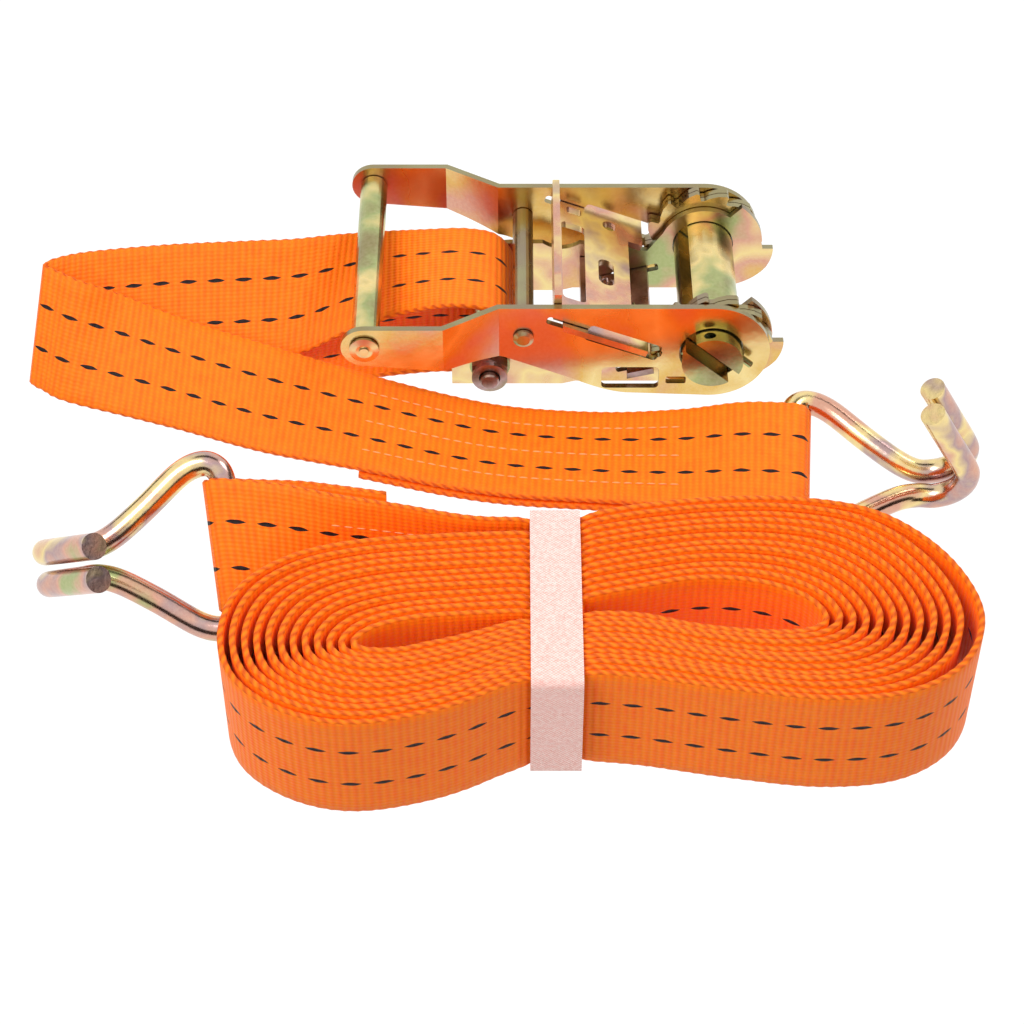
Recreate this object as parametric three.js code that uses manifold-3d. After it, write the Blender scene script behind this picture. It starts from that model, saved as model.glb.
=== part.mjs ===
// A ratchet tie-down set for a truck or trailer: a ratchet buckle with its sewn fixed strap and hook,
// and a long strap, coiled, with its own hook and an elastic band.
// Millimetres. +Z is up, the buckle's pins run along Y, and the handle's grip is towards -X.
import * as THREE from 'three';
import * as BufferGeometryUtils from 'three/addons/utils/BufferGeometryUtils.js';
import Module from 'manifold-3d';

const wasm = await Module();
wasm.setup();

// ---------------------------------------------------------------- driving dimensions

const WEB_WIDTH = 38;
const WEB_THICK = 1.7;
const PLATE = 2;
const GAP = 0.35;

const DRUM = { x: 62, z: 19.5, radius: 9.5, slot: 4.5, slotTilt: -42, reach: 35.5 };
const WHEEL = { tip: 19.1, root: 16.1, teeth: 12, phase: 184.6, thick: 1.9, inner: 23.9, pitch: 2.2 };
const MID_Y = 80.5;
const HANDLE_OUT = 30.5;
const GRIP_OUT = 40.5;
const FRAME_OUT = 23.6;

const GRIP = { x: -45, z: 30.3, radius: 4.35, boreRadius: 2.6 };
const CROSS = { x: 3.5, z: 26, radius: 3.3 };
const BOLT = { x: -7, z: 9, radius: 3, sleeve: 5, nut: 6.4 };

const LATCH = { tipX: 41.8, tipZ: 20.5, slope: -22, thick: 2.2, earX: 13, flangeTop: 41, earReach: 32.4 };
const PAWL = { tipX: 44.4, tipZ: 9.35, slope: 15, thick: 2.2, tailX: 22, flangeTop: 14.5, earReach: 27.9 };
const PIN_REACH = 33;

const WIRE = 3.7;
const HOOK = { half: 23.8, bend: 5.5, shank: 38.8, curl: 11.8, turn: 125, tip: 29, spacing: 9 };

const COIL_HEIGHT = WEB_WIDTH;
const BAND = { x: 12, width: 14, thick: 1.2, front: -98.9, back: -36.4, low: 1.5, high: 37.4 };

// ---------------------------------------------------------------- materials

const steel = (color, roughness) => new THREE.MeshStandardMaterial({ color, roughness, metalness: 0.9 });
const zincGold = () => steel(0xc9a84a, 0.3);
const zincGreen = () => steel(0xa0a068, 0.35);
const zincPink = () => steel(0xc79a8f, 0.35);
const zincDark = () => steel(0x8a6a58, 0.4);
const webbing = () => new THREE.MeshStandardMaterial({ color: 0xff6a10, roughness: 0.8, metalness: 0 });
const elastic = () => new THREE.MeshStandardMaterial({ color: 0xf2c4bc, roughness: 0.9, metalness: 0 });

// ---------------------------------------------------------------- solids

const radians = THREE.MathUtils.degToRad;
const set = new THREE.Group();

function toManifold(geometry) {
  const bare = geometry.clone();
  bare.deleteAttribute('normal');
  bare.deleteAttribute('uv');
  const merged = BufferGeometryUtils.mergeVertices(bare, 1e-4);
  const vertProperties = new Float32Array(merged.attributes.position.array);
  const triVerts = new Uint32Array(merged.index.array);
  return new wasm.Manifold(new wasm.Mesh({ numProp: 3, vertProperties, triVerts }));
}

function toGeometry(solid) {
  const mesh = solid.getMesh();
  const geometry = new THREE.BufferGeometry();
  geometry.setAttribute('position', new THREE.BufferAttribute(new Float32Array(mesh.vertProperties), 3));
  geometry.setIndex(new THREE.BufferAttribute(new Uint32Array(mesh.triVerts), 1));
  return geometry;
}

function cut(body, ...tools) {
  return tools.reduce((solid, tool) => solid.subtract(toManifold(tool)), toManifold(body));
}

function add(name, geometry, material) {
  const mesh = new THREE.Mesh(geometry, material);
  mesh.name = name;
  set.add(mesh);
  return mesh;
}

// An outline in the XZ plane, given a thickness along Y from yLow to yHigh.
function slabXZ(shape, yLow, yHigh, curveSegments = 10) {
  const geometry = new THREE.ExtrudeGeometry(shape, { depth: yHigh - yLow, bevelEnabled: false, curveSegments });
  geometry.rotateX(Math.PI / 2);
  geometry.translate(0, yHigh, 0);
  return geometry;
}

// An outline in the XY plane, given a height along Z from zLow to zHigh.
function slabXY(shape, zLow, zHigh, curveSegments = 10) {
  const geometry = new THREE.ExtrudeGeometry(shape, { depth: zHigh - zLow, bevelEnabled: false, curveSegments });
  geometry.translate(0, 0, zLow);
  return geometry;
}

// A round bar along Y.
function bar(x, z, radius, yLow, yHigh, sides = 24) {
  const geometry = new THREE.CylinderGeometry(radius, radius, yHigh - yLow, sides);
  geometry.translate(x, (yLow + yHigh) / 2, z);
  return geometry;
}

function polygon(points) {
  return new THREE.Shape(points.map(([x, y]) => new THREE.Vector2(x, y)));
}

function roundedBox(x0, y0, x1, y1, r) {
  const shape = new THREE.Shape();
  shape.moveTo(x0 + r, y0);
  shape.lineTo(x1 - r, y0);
  shape.absarc(x1 - r, y0 + r, r, -Math.PI / 2, 0, false);
  shape.lineTo(x1, y1 - r);
  shape.absarc(x1 - r, y1 - r, r, 0, Math.PI / 2, false);
  shape.lineTo(x0 + r, y1);
  shape.absarc(x0 + r, y1 - r, r, Math.PI / 2, Math.PI, false);
  shape.lineTo(x0, y0 + r);
  shape.absarc(x0 + r, y0 + r, r, Math.PI, Math.PI * 1.5, false);
  return shape;
}

// A slot in the XZ plane whose long side follows a slope; u runs along the slope from (x, z).
function slopedSlot(x, z, slope, uLow, uHigh, halfWidth, corner) {
  const geometry = slabXZ(roundedBox(uLow, -halfWidth, uHigh, halfWidth, corner), -60, 60, 4);
  geometry.rotateY(-radians(slope));
  geometry.translate(x, MID_Y, z);
  return geometry;
}

// Mirrors a piece made for the far side (+Y from the middle) to the near side.
function mirrored(geometry) {
  const copy = geometry.clone();
  copy.translate(0, -MID_Y, 0);
  copy.scale(1, -1, 1);
  copy.translate(0, MID_Y, 0);
  const index = copy.index;
  for (let i = 0; i < index.count; i += 3) {
    const first = index.getX(i);
    index.setX(i, index.getX(i + 1));
    index.setX(i + 1, first);
  }
  return copy;
}

// ---------------------------------------------------------------- handle

// The side profile: straight along the top, round at the drum, and slim towards the grip.
function handleProfile() {
  const endRadius = 18;
  const gripEnd = 7.2;
  const shape = new THREE.Shape();
  shape.moveTo(DRUM.x, DRUM.z - endRadius);
  shape.absarc(DRUM.x, DRUM.z, endRadius, -Math.PI / 2, Math.PI / 2, false);
  shape.lineTo(GRIP.x, GRIP.z + gripEnd);
  shape.absarc(GRIP.x, GRIP.z, gripEnd, Math.PI / 2, Math.PI * 1.5, false);
  shape.lineTo(-18, 20.6);
  shape.quadraticCurveTo(-10, 20, -2, 17.6);
  shape.lineTo(19, 8.6);
  shape.quadraticCurveTo(29, 3.2, 36, 2.6);
  shape.lineTo(DRUM.x, DRUM.z - endRadius);
  return shape;
}

// The plan of one bent strip: wide apart at the grip, closer together from the second bend on.
function handlePlan() {
  const inner = HANDLE_OUT - PLATE;
  const gripInner = GRIP_OUT - PLATE;
  return polygon([
    [-60, gripInner],
    [-21.5, gripInner],
    [-4.5, inner],
    [90, inner],
    [90, HANDLE_OUT],
    [-4, HANDLE_OUT],
    [-21, GRIP_OUT],
    [-60, GRIP_OUT],
  ].map(([x, y]) => [x, y + MID_Y]));
}

const LATCH_DIR = [Math.cos(radians(LATCH.slope)), Math.sin(radians(LATCH.slope))];

function handlePlate() {
  const bent = toManifold(slabXY(handlePlan(), -5, 50))
    .intersect(toManifold(slabXZ(handleProfile(), MID_Y, MID_Y + 60, 22)));
  const latchZ = (x) => LATCH.tipZ + (x - LATCH.tipX) * Math.tan(radians(LATCH.slope));
  const holes = [
    bar(DRUM.x, DRUM.z, DRUM.radius + GAP + 0.3, MID_Y, MID_Y + 60, 40),
    bar(GRIP.x, GRIP.z, GRIP.boreRadius + 0.9, MID_Y, MID_Y + 60),
    bar(CROSS.x, CROSS.z, CROSS.radius - 0.9, MID_Y, MID_Y + 60),
    slopedSlot(LATCH.tipX, latchZ(LATCH.tipX), LATCH.slope, -33.5, 5, LATCH.thick / 2 + GAP, 1),
    slopedSlot(LATCH.tipX, latchZ(LATCH.tipX), LATCH.slope, -20, 4.2, 3.1, 1.2),
    slabXZ(roundedBox(28, 4.6, 46, 13.4, 1.5), MID_Y, MID_Y + 60, 4),
    slabXZ(roundedBox(48.2, 6.5, 54.5, 9.4, 0.6), MID_Y, MID_Y + 60, 4),
  ];
  return holes.reduce((solid, hole) => solid.subtract(toManifold(hole)), bent);
}

const handlePlateFar = toGeometry(handlePlate());
add('handle_plate_far', handlePlateFar, zincGold());
add('handle_plate_near', mirrored(handlePlateFar), zincGold());

// The grip is a tube between the plates, with its ends reduced, passed through and flared over.
const gripInside = GRIP_OUT - PLATE - GAP;
add('grip_tube', toGeometry(cut(
  bar(GRIP.x, GRIP.z, GRIP.radius, MID_Y - gripInside, MID_Y + gripInside, 28),
  bar(GRIP.x, GRIP.z, GRIP.boreRadius + GAP, MID_Y - 60, MID_Y + 60, 20),
)), zincGreen());

// A rivet along Y, with a rolled head at each end: shank, and two flanges outside the plates.
function rivet(x, z, shank, head, outside, headThick) {
  const end = outside + GAP + headThick;
  const profile = [
    [0, -end],
    [shank * 0.55, -end],
    [shank * 0.55, -end + 0.5],
    [shank, -end + 0.3],
    [head, -end + headThick * 0.5],
    [head, -outside - GAP],
    [shank, -outside - GAP],
    [shank, outside + GAP],
    [head, outside + GAP],
    [head, end - headThick * 0.5],
    [shank, end - 0.3],
    [shank * 0.55, end - 0.5],
    [shank * 0.55, end],
    [0, end],
  ].map(([r, y]) => new THREE.Vector2(r, y));
  const geometry = new THREE.LatheGeometry(profile, 24);
  geometry.translate(x, MID_Y, z);
  return geometry;
}

add('grip_rivet', rivet(GRIP.x, GRIP.z, GRIP.boreRadius, 4.6, GRIP_OUT, 1.5), zincDark());

// The second cross pin spaces the plates; its shouldered middle is thicker than its riveted ends.
const crossInside = HANDLE_OUT - PLATE - GAP;
const crossShank = CROSS.radius - 1.3;
const crossEnd = HANDLE_OUT + GAP + 1.4;
add('cross_pin', (() => {
  const profile = [
    [0, -crossEnd],
    [crossShank, -crossEnd],
    [3.2, -crossEnd + 0.7],
    [3.2, -HANDLE_OUT - GAP],
    [crossShank, -HANDLE_OUT - GAP],
    [crossShank, -crossInside],
    [CROSS.radius, -crossInside],
    [CROSS.radius, crossInside],
    [crossShank, crossInside],
    [crossShank, HANDLE_OUT + GAP],
    [3.2, HANDLE_OUT + GAP],
    [3.2, crossEnd - 0.7],
    [crossShank, crossEnd],
    [0, crossEnd],
  ].map(([r, y]) => new THREE.Vector2(r, y));
  const geometry = new THREE.LatheGeometry(profile, 22);
  geometry.translate(CROSS.x, MID_Y, CROSS.z);
  return geometry;
})(), zincPink());

// ---------------------------------------------------------------- handle latch

// A bent plate seen from the side: a sloping web with its tip at the wheel and an upright finger pull.
function latchProfile() {
  const [ux, uz] = LATCH_DIR;
  const half = LATCH.thick / 2;
  const length = (LATCH.tipX - LATCH.earX) / ux;
  const at = (u, v) => [LATCH.tipX - u * ux - v * uz, LATCH.tipZ - u * uz + v * ux];
  const lowEnd = at(length, -half);
  const highEnd = at(length, half);
  return polygon([
    at(0, -half),
    at(0, half),
    at(length - LATCH.thick, half),
    [highEnd[0] + LATCH.thick - 0.4, LATCH.flangeTop],
    [highEnd[0] - 0.4, LATCH.flangeTop],
    lowEnd,
  ].reverse());
}

// Its plan: two long ears through the handle plates and a narrow body between them.
function latchPlan() {
  const ear = 18.5;
  const right = LATCH.tipX + 6;
  const left = LATCH.earX - 4;
  return polygon([
    [left, -28.1],
    [LATCH.earX + 2.6, -28.1],
    [LATCH.earX + 2.6, -LATCH.earReach],
    [right, -LATCH.earReach],
    [right, -ear],
    [37.5, -ear],
    [37.5, ear],
    [right, ear],
    [right, LATCH.earReach],
    [LATCH.earX + 2.6, LATCH.earReach],
    [LATCH.earX + 2.6, 28.1],
    [left, 28.1],
  ].map(([x, y]) => [x, y + MID_Y]));
}

add('handle_latch', toGeometry((() => {
  const bent = toManifold(slabXZ(latchProfile(), MID_Y - 60, MID_Y + 60))
    .intersect(toManifold(slabXY(latchPlan(), 0, 60)));
  const sideWindow = slabXY(roundedBox(LATCH.earX + 2.8, MID_Y - 18.5, 23.2, MID_Y + 18.5, 1.5), 10, 33.4, 4);
  const springHole = slabXY(roundedBox(27.4, MID_Y - 6.5, 32.4, MID_Y + 5.5, 2.3), 10, 50, 5);
  const roundHole = new THREE.CylinderGeometry(2.2, 2.2, 60, 18);
  roundHole.rotateX(Math.PI / 2);
  roundHole.translate(31.5, MID_Y + 23.2, 25);
  const earSlot = slabXY(roundedBox(LATCH.earX + 4.6, MID_Y + 23.4, 22.4, MID_Y + 26.6, 0.8), 10, 50, 4);
  const earSlotNear = slabXY(roundedBox(LATCH.earX + 4.6, MID_Y - 26.6, 22.4, MID_Y - 23.4, 0.8), 10, 50, 4);
  return [sideWindow, springHole, roundHole, earSlot, earSlotNear]
    .reduce((solid, hole) => solid.subtract(toManifold(hole)), bent);
})()), zincPink());

// ---------------------------------------------------------------- springs

// A wire coil along the direction (dx, dz) from (x, z), as one closed tube.
function springGeometry(x, z, slope, length, radius, turns, wire) {
  const steps = turns * 9;
  const points = [];
  for (let i = 0; i <= steps; i += 1) {
    const angle = (i / steps) * turns * Math.PI * 2;
    const u = (i / steps) * length;
    points.push(new THREE.Vector3(u, Math.cos(angle) * radius, Math.sin(angle) * radius));
  }
  const path = new THREE.CatmullRomCurve3(points);
  const section = new THREE.Shape();
  section.absarc(0, 0, wire, 0, Math.PI * 2, false);
  const geometry = new THREE.ExtrudeGeometry(section, { steps, extrudePath: path, curveSegments: 3 });
  geometry.rotateY(-radians(slope));
  geometry.translate(x, MID_Y, z);
  return geometry;
}

add('latch_spring', springGeometry(24.5, 23.3, LATCH.slope, 12, 1.9, 5, 0.45), zincDark());
add('pawl_spring', springGeometry(29, 9.3, PAWL.slope, 10.5, 1.7, 5, 0.4), zincDark());

// ---------------------------------------------------------------- frame

function framePlate() {
  const tail = -19;
  const shape = new THREE.Shape();
  shape.moveTo(tail, 0.05);
  shape.lineTo(16, 0.05);
  shape.lineTo(20, 1.2);
  shape.lineTo(DRUM.x, 1.2);
  shape.quadraticCurveTo(77, 0.8, 83.2, 10);
  shape.quadraticCurveTo(85.2, 14, 85, 17.8);
  shape.lineTo(81.6, 17.8);
  shape.lineTo(81, 20.6);
  shape.absarc(DRUM.x, DRUM.z, 19.3, radians(4), radians(52), false);
  shape.lineTo(DRUM.x + 8.2, DRUM.z + 11.2);
  shape.absarc(DRUM.x, DRUM.z, 13.9, radians(54), radians(160), false);
  shape.lineTo(44, 16.8);
  shape.lineTo(22, 19.8);
  shape.quadraticCurveTo(16, 15.6, 10, 20);
  shape.lineTo(-1, 20);
  shape.quadraticCurveTo(-10, 19.4, -13, 15.5);
  shape.lineTo(tail, 13.5);
  shape.closePath();
  const pawlSlot = slopedSlot(PAWL.tipX, PAWL.tipZ, PAWL.slope, -12, 3.6, PAWL.thick / 2 + GAP, 0.8);
  return cut(
    slabXZ(shape, MID_Y + FRAME_OUT - PLATE, MID_Y + FRAME_OUT, 12),
    bar(DRUM.x, DRUM.z, DRUM.radius + GAP, MID_Y, MID_Y + 60, 40),
    bar(BOLT.x, BOLT.z, BOLT.radius + GAP, MID_Y, MID_Y + 60),
    pawlSlot,
  );
}

const framePlateFar = toGeometry(framePlate());
add('frame_plate_far', framePlateFar, zincPink());
add('frame_plate_near', mirrored(framePlateFar), zincPink());

const sleeveInside = FRAME_OUT - PLATE - GAP;
add('anchor_sleeve', toGeometry(cut(
  bar(BOLT.x, BOLT.z, BOLT.sleeve, MID_Y - sleeveInside, MID_Y + sleeveInside, 26),
  bar(BOLT.x, BOLT.z, BOLT.radius + GAP, MID_Y - 60, MID_Y + 60, 22),
)), zincGreen());

const washerOut = FRAME_OUT + GAP + 1.2;
function washer(yLow, yHigh) {
  return toGeometry(cut(
    bar(BOLT.x, BOLT.z, 6.4, yLow, yHigh, 26),
    bar(BOLT.x, BOLT.z, BOLT.radius + GAP, yLow - 5, yHigh + 5, 22),
  ));
}
add('anchor_washer_near', washer(MID_Y - washerOut, MID_Y - FRAME_OUT - GAP), zincGreen());
add('anchor_washer_far', washer(MID_Y + FRAME_OUT + GAP, MID_Y + washerOut), zincGreen());

// The bolt: a hexagon head on the far side, a plain shank, and its end proud of the nut.
const headLow = washerOut + GAP;
const headProfile = [
  [0, -PIN_REACH],
  [BOLT.radius - 0.5, -PIN_REACH],
  [BOLT.radius, -PIN_REACH + 0.5],
  [BOLT.radius, headLow],
  [BOLT.radius, headLow + 1],
  [0, headLow + 1],
].map(([r, y]) => new THREE.Vector2(r, y));
const boltShank = new THREE.LatheGeometry(headProfile, 22);
boltShank.translate(BOLT.x, MID_Y, BOLT.z);
add('anchor_bolt', toGeometry(toManifold(boltShank)
  .add(toManifold(bar(BOLT.x, BOLT.z, BOLT.nut, MID_Y + headLow, MID_Y + headLow + 4, 6)))), zincDark());

// The lock nut: a hexagon with a round collar, open through its middle.
const nutOut = headLow + 5.4;
const collar = bar(BOLT.x, BOLT.z, 5.6, MID_Y - nutOut, MID_Y - headLow - 2, 26);
add('anchor_nut', toGeometry(toManifold(bar(BOLT.x, BOLT.z, BOLT.nut, MID_Y - headLow - 3.6, MID_Y - headLow, 6))
  .add(toManifold(collar))
  .subtract(toManifold(bar(BOLT.x, BOLT.z, BOLT.radius + GAP, 0, MID_Y, 22)))), zincDark());

// ---------------------------------------------------------------- drum and ratchet wheels

// One half of the split drum: a segment of a circle beside the slot, along Y.
function drumSegment(radius, slotHalf) {
  const start = Math.asin(slotHalf / radius);
  const shape = new THREE.Shape();
  shape.absarc(0, 0, radius, start, Math.PI - start, false);
  shape.closePath();
  return shape;
}

function drumHalf(radius, slotHalf, reach, turn) {
  const geometry = slabXZ(drumSegment(radius, slotHalf), -reach, reach, 16);
  geometry.rotateY(-radians(DRUM.slotTilt + turn));
  geometry.translate(DRUM.x, MID_Y, DRUM.z);
  return geometry;
}

const splitPinOut = HANDLE_OUT + 2.6;

// A split pin stands in a cross hole through one half, just outside the handle plate.
function splitPin(side, turn) {
  const geometry = new THREE.CylinderGeometry(1.1, 1.1, 11, 12);
  geometry.rotateZ(Math.PI / 2);
  geometry.translate(5.2, side * splitPinOut, 6.1);
  geometry.rotateY(-radians(DRUM.slotTilt + turn));
  geometry.translate(DRUM.x, MID_Y, DRUM.z);
  return geometry;
}

function splitPinHole(side, turn) {
  const geometry = new THREE.CylinderGeometry(1.1 + GAP, 1.1 + GAP, 40, 12);
  geometry.rotateZ(Math.PI / 2);
  geometry.translate(0, side * splitPinOut, 6.1);
  geometry.rotateY(-radians(DRUM.slotTilt + turn));
  geometry.translate(DRUM.x, MID_Y, DRUM.z);
  return geometry;
}

const halfSlot = DRUM.slot / 2;
[['drum_half_upper', 0, zincGreen()], ['drum_half_lower', 180, zincDark()]].forEach(([name, turn, material]) => {
  const half = drumHalf(DRUM.radius, halfSlot, DRUM.reach, turn);
  add(name, toGeometry(cut(half, splitPinHole(-1, turn), splitPinHole(1, turn))), material);
});
add('split_pin_near', splitPin(-1, 0), zincGreen());
add('split_pin_far', splitPin(1, 180), zincGreen());

// Saw teeth: each back climbs from the root to the tip clockwise, then drops on a steep face.
function wheelShape() {
  const pitch = 360 / WHEEL.teeth;
  const shape = new THREE.Shape();
  for (let tooth = 0; tooth < WHEEL.teeth; tooth += 1) {
    const face = WHEEL.phase + tooth * pitch;
    const profile = [[0, WHEEL.root], [1.2, WHEEL.tip - 0.5], [3.6, WHEEL.tip], [12, 18.3], [21, 17], [26, WHEEL.root]];
    profile.forEach(([offset, r], k) => {
      const angle = radians(face + offset);
      const place = [Math.cos(angle) * r, Math.sin(angle) * r];
      if (tooth === 0 && k === 0) shape.moveTo(...place);
      else shape.lineTo(...place);
    });
  }
  shape.closePath();
  return shape;
}

function wheelAt(yLow) {
  const wheel = slabXZ(wheelShape(), yLow, yLow + WHEEL.thick);
  wheel.translate(DRUM.x, MID_Y, DRUM.z);
  const holes = [0, 180].map((turn) => drumHalf(DRUM.radius + GAP, halfSlot - GAP, 60, turn));
  return toGeometry(cut(wheel, ...holes));
}

[
  ['wheel_far_inner', WHEEL.inner],
  ['wheel_far_outer', WHEEL.inner + WHEEL.pitch],
  ['wheel_near_inner', -WHEEL.inner - WHEEL.thick],
  ['wheel_near_outer', -WHEEL.inner - WHEEL.pitch - WHEEL.thick],
].forEach(([name, yLow]) => add(name, wheelAt(yLow), zincGold()));

// ---------------------------------------------------------------- frame pawl

function pawlProfile() {
  const slope = radians(PAWL.slope);
  const ux = Math.cos(slope);
  const uz = Math.sin(slope);
  const half = PAWL.thick / 2;
  const length = (PAWL.tipX - PAWL.tailX) / ux;
  const at = (u, v) => [PAWL.tipX - u * ux - v * uz, PAWL.tipZ - u * uz + v * ux];
  const low = at(length, -half);
  return polygon([
    low,
    at(0, -half),
    at(0, half),
    at(length - PAWL.thick, half),
    [low[0] + PAWL.thick - 0.2, PAWL.flangeTop],
    [low[0] - 0.2, PAWL.flangeTop],
  ]);
}

function pawlPlan() {
  const body = FRAME_OUT - PLATE - GAP;
  const earLeft = PAWL.tipX - 8.2;
  return polygon([
    [10, -body],
    [earLeft, -body],
    [earLeft, -PAWL.earReach],
    [60, -PAWL.earReach],
    [60, PAWL.earReach],
    [earLeft, PAWL.earReach],
    [earLeft, body],
    [10, body],
  ].map(([x, y]) => [x, y + MID_Y]));
}

add('lock_pawl', toGeometry((() => {
  const bent = toManifold(slabXZ(pawlProfile(), MID_Y - 60, MID_Y + 60))
    .intersect(toManifold(slabXY(pawlPlan(), 0, 60)));
  const window = slabXY(roundedBox(24.8, MID_Y + 2, 28.8, MID_Y + 12, 1.6), 0, 9, 4);
  return bent.subtract(toManifold(window));
})()), zincDark());

// ---------------------------------------------------------------- hooks

// Half of the wire, from the middle of the bar out to the tip, in the hook's own axes:
// x along the shank, y towards the tip of the J, z along the bar.
function hookHalf() {
  const { half, bend, shank, curl, turn, tip, spacing } = HOOK;
  const z = spacing / 2;
  const points = [
    [0, 0, half * 0.5],
    [0, 0, half - bend],
    [bend * 0.29, 0, half - bend * 0.29],
    [bend, 0, half],
    [bend * 2.2, 0, half - 2.2],
    [shank * 0.6, 0, half - 10.6],
    [shank * 0.84, 0, z + 2.4],
  ];
  for (let angle = 0; angle <= turn; angle += turn / 5) {
    const a = radians(angle);
    points.push([shank + curl * Math.sin(a), curl * (1 - Math.cos(a)), z]);
  }
  const end = radians(turn);
  const last = points[points.length - 1];
  points.push([last[0] + (tip / 2) * Math.cos(end), last[1] + (tip / 2) * Math.sin(end), z]);
  points.push([last[0] + tip * Math.cos(end), last[1] + tip * Math.sin(end), z]);
  return points;
}

function hookGeometry({ place, shank, bar: barDir }) {
  const half = hookHalf();
  const other = half.map(([x, y, z]) => [x, y, -z]).reverse();
  const points = [...other, [0, 0, 0], ...half].map((p) => new THREE.Vector3(...p));
  const path = new THREE.CatmullRomCurve3(points, false, 'centripetal');
  const section = new THREE.Shape();
  section.absarc(0, 0, WIRE, 0, Math.PI * 2, false);
  const geometry = new THREE.ExtrudeGeometry(section, { steps: 96, extrudePath: path, curveSegments: 5 });
  const e3 = new THREE.Vector3(...barDir).normalize();
  const e2 = new THREE.Vector3().crossVectors(new THREE.Vector3(...shank), e3).normalize();
  const e1 = new THREE.Vector3().crossVectors(e3, e2).normalize();
  geometry.applyMatrix4(new THREE.Matrix4().makeBasis(e1, e2, e3.negate()));
  geometry.translate(...place);
  return geometry;
}

// Where each hook's bar has its middle, which way its shank points, and the direction of the bar itself.
const HOOK_FIXED = { place: [84, 9.7, 10.5], shank: [0.988, -0.05, -0.15], bar: [0.08, 0.976, 0.2] };
const HOOK_LONG = { place: [-80.5, -32.6, 20.7], shank: [-0.991, -0.0935, -0.09], bar: [0.13, -0.705, -0.697] };
add('hook_fixed', hookGeometry(HOOK_FIXED), zincPink());
add('hook_long', hookGeometry(HOOK_LONG), zincPink());

// ---------------------------------------------------------------- webbing

// A ribbon of webbing lofted through stations, each with the two edges of the strap at that place.
function ribbon(stations, stepsPerSpan = 4) {
  const first = new THREE.CatmullRomCurve3(stations.map(([p]) => new THREE.Vector3(...p)), false, 'catmullrom', 0.5);
  const second = new THREE.CatmullRomCurve3(stations.map(([, q]) => new THREE.Vector3(...q)), false, 'catmullrom', 0.5);
  const steps = (stations.length - 1) * stepsPerSpan;
  const centres = [];
  const widths = [];
  for (let i = 0; i <= steps; i += 1) {
    const p = first.getPoint(i / steps);
    const q = second.getPoint(i / steps);
    centres.push(p.clone().add(q).multiplyScalar(0.5));
    widths.push(q.clone().sub(p).normalize().multiplyScalar(WEB_WIDTH / 2));
  }
  const vertices = [];
  centres.forEach((centre, i) => {
    const along = centres[Math.min(i + 1, steps)].clone().sub(centres[Math.max(i - 1, 0)]);
    const across = new THREE.Vector3().crossVectors(along, widths[i]).normalize().multiplyScalar(WEB_THICK / 2);
    [[-1, -1], [1, -1], [1, 1], [-1, 1]].forEach(([w, t]) => {
      const corner = centre.clone().addScaledVector(widths[i], w).addScaledVector(across, t);
      vertices.push(corner.x, corner.y, corner.z);
    });
  });
  const faces = [0, 2, 1, 0, 3, 2];
  for (let i = 0; i < steps; i += 1) {
    for (let k = 0; k < 4; k += 1) {
      const a = i * 4 + k;
      const b = i * 4 + ((k + 1) % 4);
      faces.push(a, b, b + 4, a, b + 4, a + 4);
    }
  }
  const end = steps * 4;
  faces.push(end, end + 1, end + 2, end, end + 2, end + 3);
  const geometry = new THREE.BufferGeometry();
  geometry.setAttribute('position', new THREE.BufferAttribute(new Float32Array(vertices), 3));
  geometry.setIndex(faces);
  return geometry;
}

// A strap going round a hook's bar: stations on an arc about the bar, between two angles.
function roundBar({ place, bar: barDir }, from, to, count) {
  const n = new THREE.Vector3(...barDir).normalize();
  if (n.z < 0) n.negate();
  const side = new THREE.Vector3().crossVectors(n, new THREE.Vector3(1, 0, 0)).normalize();
  const forward = new THREE.Vector3().crossVectors(side, n);
  const stations = [];
  for (let i = 0; i < count; i += 1) {
    const angle = radians(from + ((to - from) * i) / (count - 1));
    const middle = new THREE.Vector3(...place)
      .addScaledVector(forward, Math.cos(angle) * LOOP)
      .addScaledVector(side, Math.sin(angle) * LOOP);
    const p = middle.clone().addScaledVector(n, -WEB_WIDTH / 2);
    const q = middle.clone().addScaledVector(n, WEB_WIDTH / 2);
    stations.push([p.toArray(), q.toArray()]);
  }
  return stations;
}

const LOOP = WIRE + 1.4;
const flat = (x, z) => [[x, MID_Y - WEB_WIDTH / 2, z], [x, MID_Y + WEB_WIDTH / 2, z]];

// The run in front: it leans at the left fold and lies down flat towards the hook. Its second layer is
// the end that comes back from the hook, below it.
const FRONT_RUN = [
  [[-147.7, 50.9, 1.2], [-141.8, 77, 30]],
  [[-142.1, 47.2, 1.4], [-134.4, 72.8, 29.4]],
  [[-125.9, 41.2, 2.2], [-121.4, 73, 22.3]],
  [[-105.3, 33.4, 3], [-103.5, 68.7, 16.8]],
  [[-76.8, 22.6, 3.8], [-74, 58.3, 13.5]],
  [[-46.9, 13.8, 4.2], [-44.6, 51.5, 8.5]],
  [[-19.6, 6.1, 4.2], [-16.9, 43.9, 6]],
  [[0.3, 2.3, 4.2], [2.5, 40.2, 5]],
  [[27, -0.6, 4.8], [29.2, 37.3, 5.8]],
  [[50.2, -3.8, 6.6], [52.4, 33.8, 10.4]],
  [[68, -7, 10.2], [70.4, 29.8, 17]],
];
const SECOND_LAYER = FRONT_RUN.slice(5, 9).reverse()
  .map((edges) => edges.map(([x, y, z]) => [x, y - 0.8, z - 2.5]));

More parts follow.
